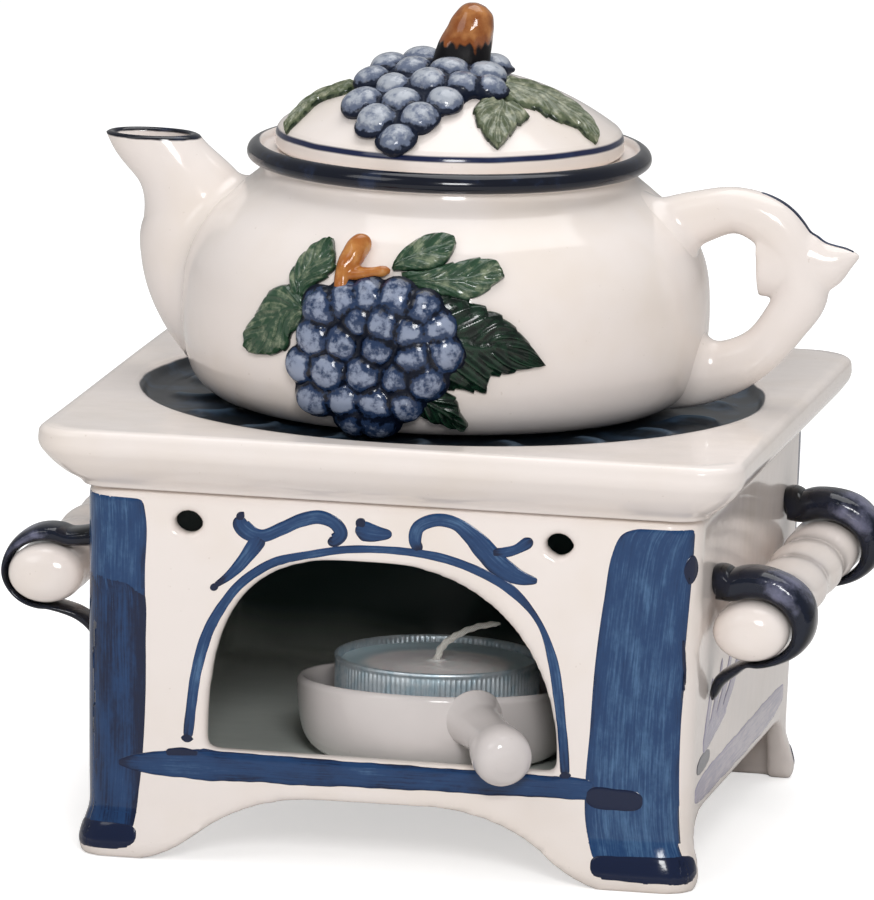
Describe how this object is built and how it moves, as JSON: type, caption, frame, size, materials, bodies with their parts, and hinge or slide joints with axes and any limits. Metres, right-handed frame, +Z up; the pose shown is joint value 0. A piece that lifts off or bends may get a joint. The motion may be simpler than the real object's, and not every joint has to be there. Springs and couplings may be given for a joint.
{
  "type": "teapot oil burner",
  "caption": "Ceramic tealight burner: a square stove with an arched mouth and rails, and a lidded teapot that stands in its top as the oil vessel.",
  "frame": {"origin": "on the floor, under the middle of the stove and of the whole object", "axes": "+Z up, -Y out of the arched front, -X towards the spout, +X towards the handle"},
  "size_m": [0.152, 0.1309, 0.1528],
  "materials": {
    "cream_glaze": "glossy warm cream glaze with hand-brushed cobalt bands and strokes",
    "navy_glaze": "glossy dark cobalt glaze, paler where it thins on the edges",
    "grape_glaze": "glossy slate blue glaze, dark in the creases and pale on the crowns",
    "leaf_glaze": "glossy bottle green glaze with paler and brown streaks",
    "twig_glaze": "satin ochre to brown glaze, darker at the base",
    "white_glaze": "glossy plain white glaze",
    "foil": "thin bright pressed foil with fine upright ribs",
    "wax": "satin translucent paraffin wax",
    "cotton": "braided waxed cotton"
  },
  "bodies": {
    "stove": {"stove_body": "cream_glaze", "stove_top": "cream_glaze", "rail_left": "cream_glaze", "rail_right": "cream_glaze", "scroll_left_front": "navy_glaze", "scroll_left_back": "navy_glaze", "scroll_right_front": "navy_glaze", "scroll_right_back": "navy_glaze"},
    "teapot": {"pot_body": "cream_glaze", "pot_spout": "cream_glaze", "pot_handle": "cream_glaze", "pot_grapes": "grape_glaze", "pot_twig": "twig_glaze", "pot_leaf_1": "leaf_glaze", "pot_leaf_2": "leaf_glaze", "pot_leaf_3": "leaf_glaze", "pot_leaf_4": "leaf_glaze", "pot_leaf_5": "leaf_glaze", "pot_leaf_6": "leaf_glaze"},
    "lid": {"lid_dome": "cream_glaze", "lid_grapes": "grape_glaze", "lid_twig": "twig_glaze", "lid_leaf_1": "leaf_glaze", "lid_leaf_2": "leaf_glaze", "lid_leaf_3": "leaf_glaze"},
    "burner_dish": {"dish_bowl": "white_glaze", "dish_handle": "white_glaze"},
    "tealight": {"tealight_cup": "foil", "tealight_wax": "wax", "wick_sustainer": "foil", "tealight_wick": "cotton"}
  },
  "joints": [
    {"name": "teapot_lift", "type": "slide", "parent": "stove", "child": "teapot", "axis": [0, 0, 1], "range_m": [0, 0.06]},
    {"name": "lid_lift", "type": "slide", "parent": "teapot", "child": "lid", "axis": [0, 0, 1], "range_m": [0, 0.04]},
    {"name": "dish_lift", "type": "slide", "parent": "stove", "child": "burner_dish", "axis": [0, 0, 1], "range_m": [0, 0.012]},
    {"name": "tealight_lift", "type": "slide", "parent": "burner_dish", "child": "tealight", "axis": [0, 0, 1], "range_m": [0, 0.014]}
  ]
}
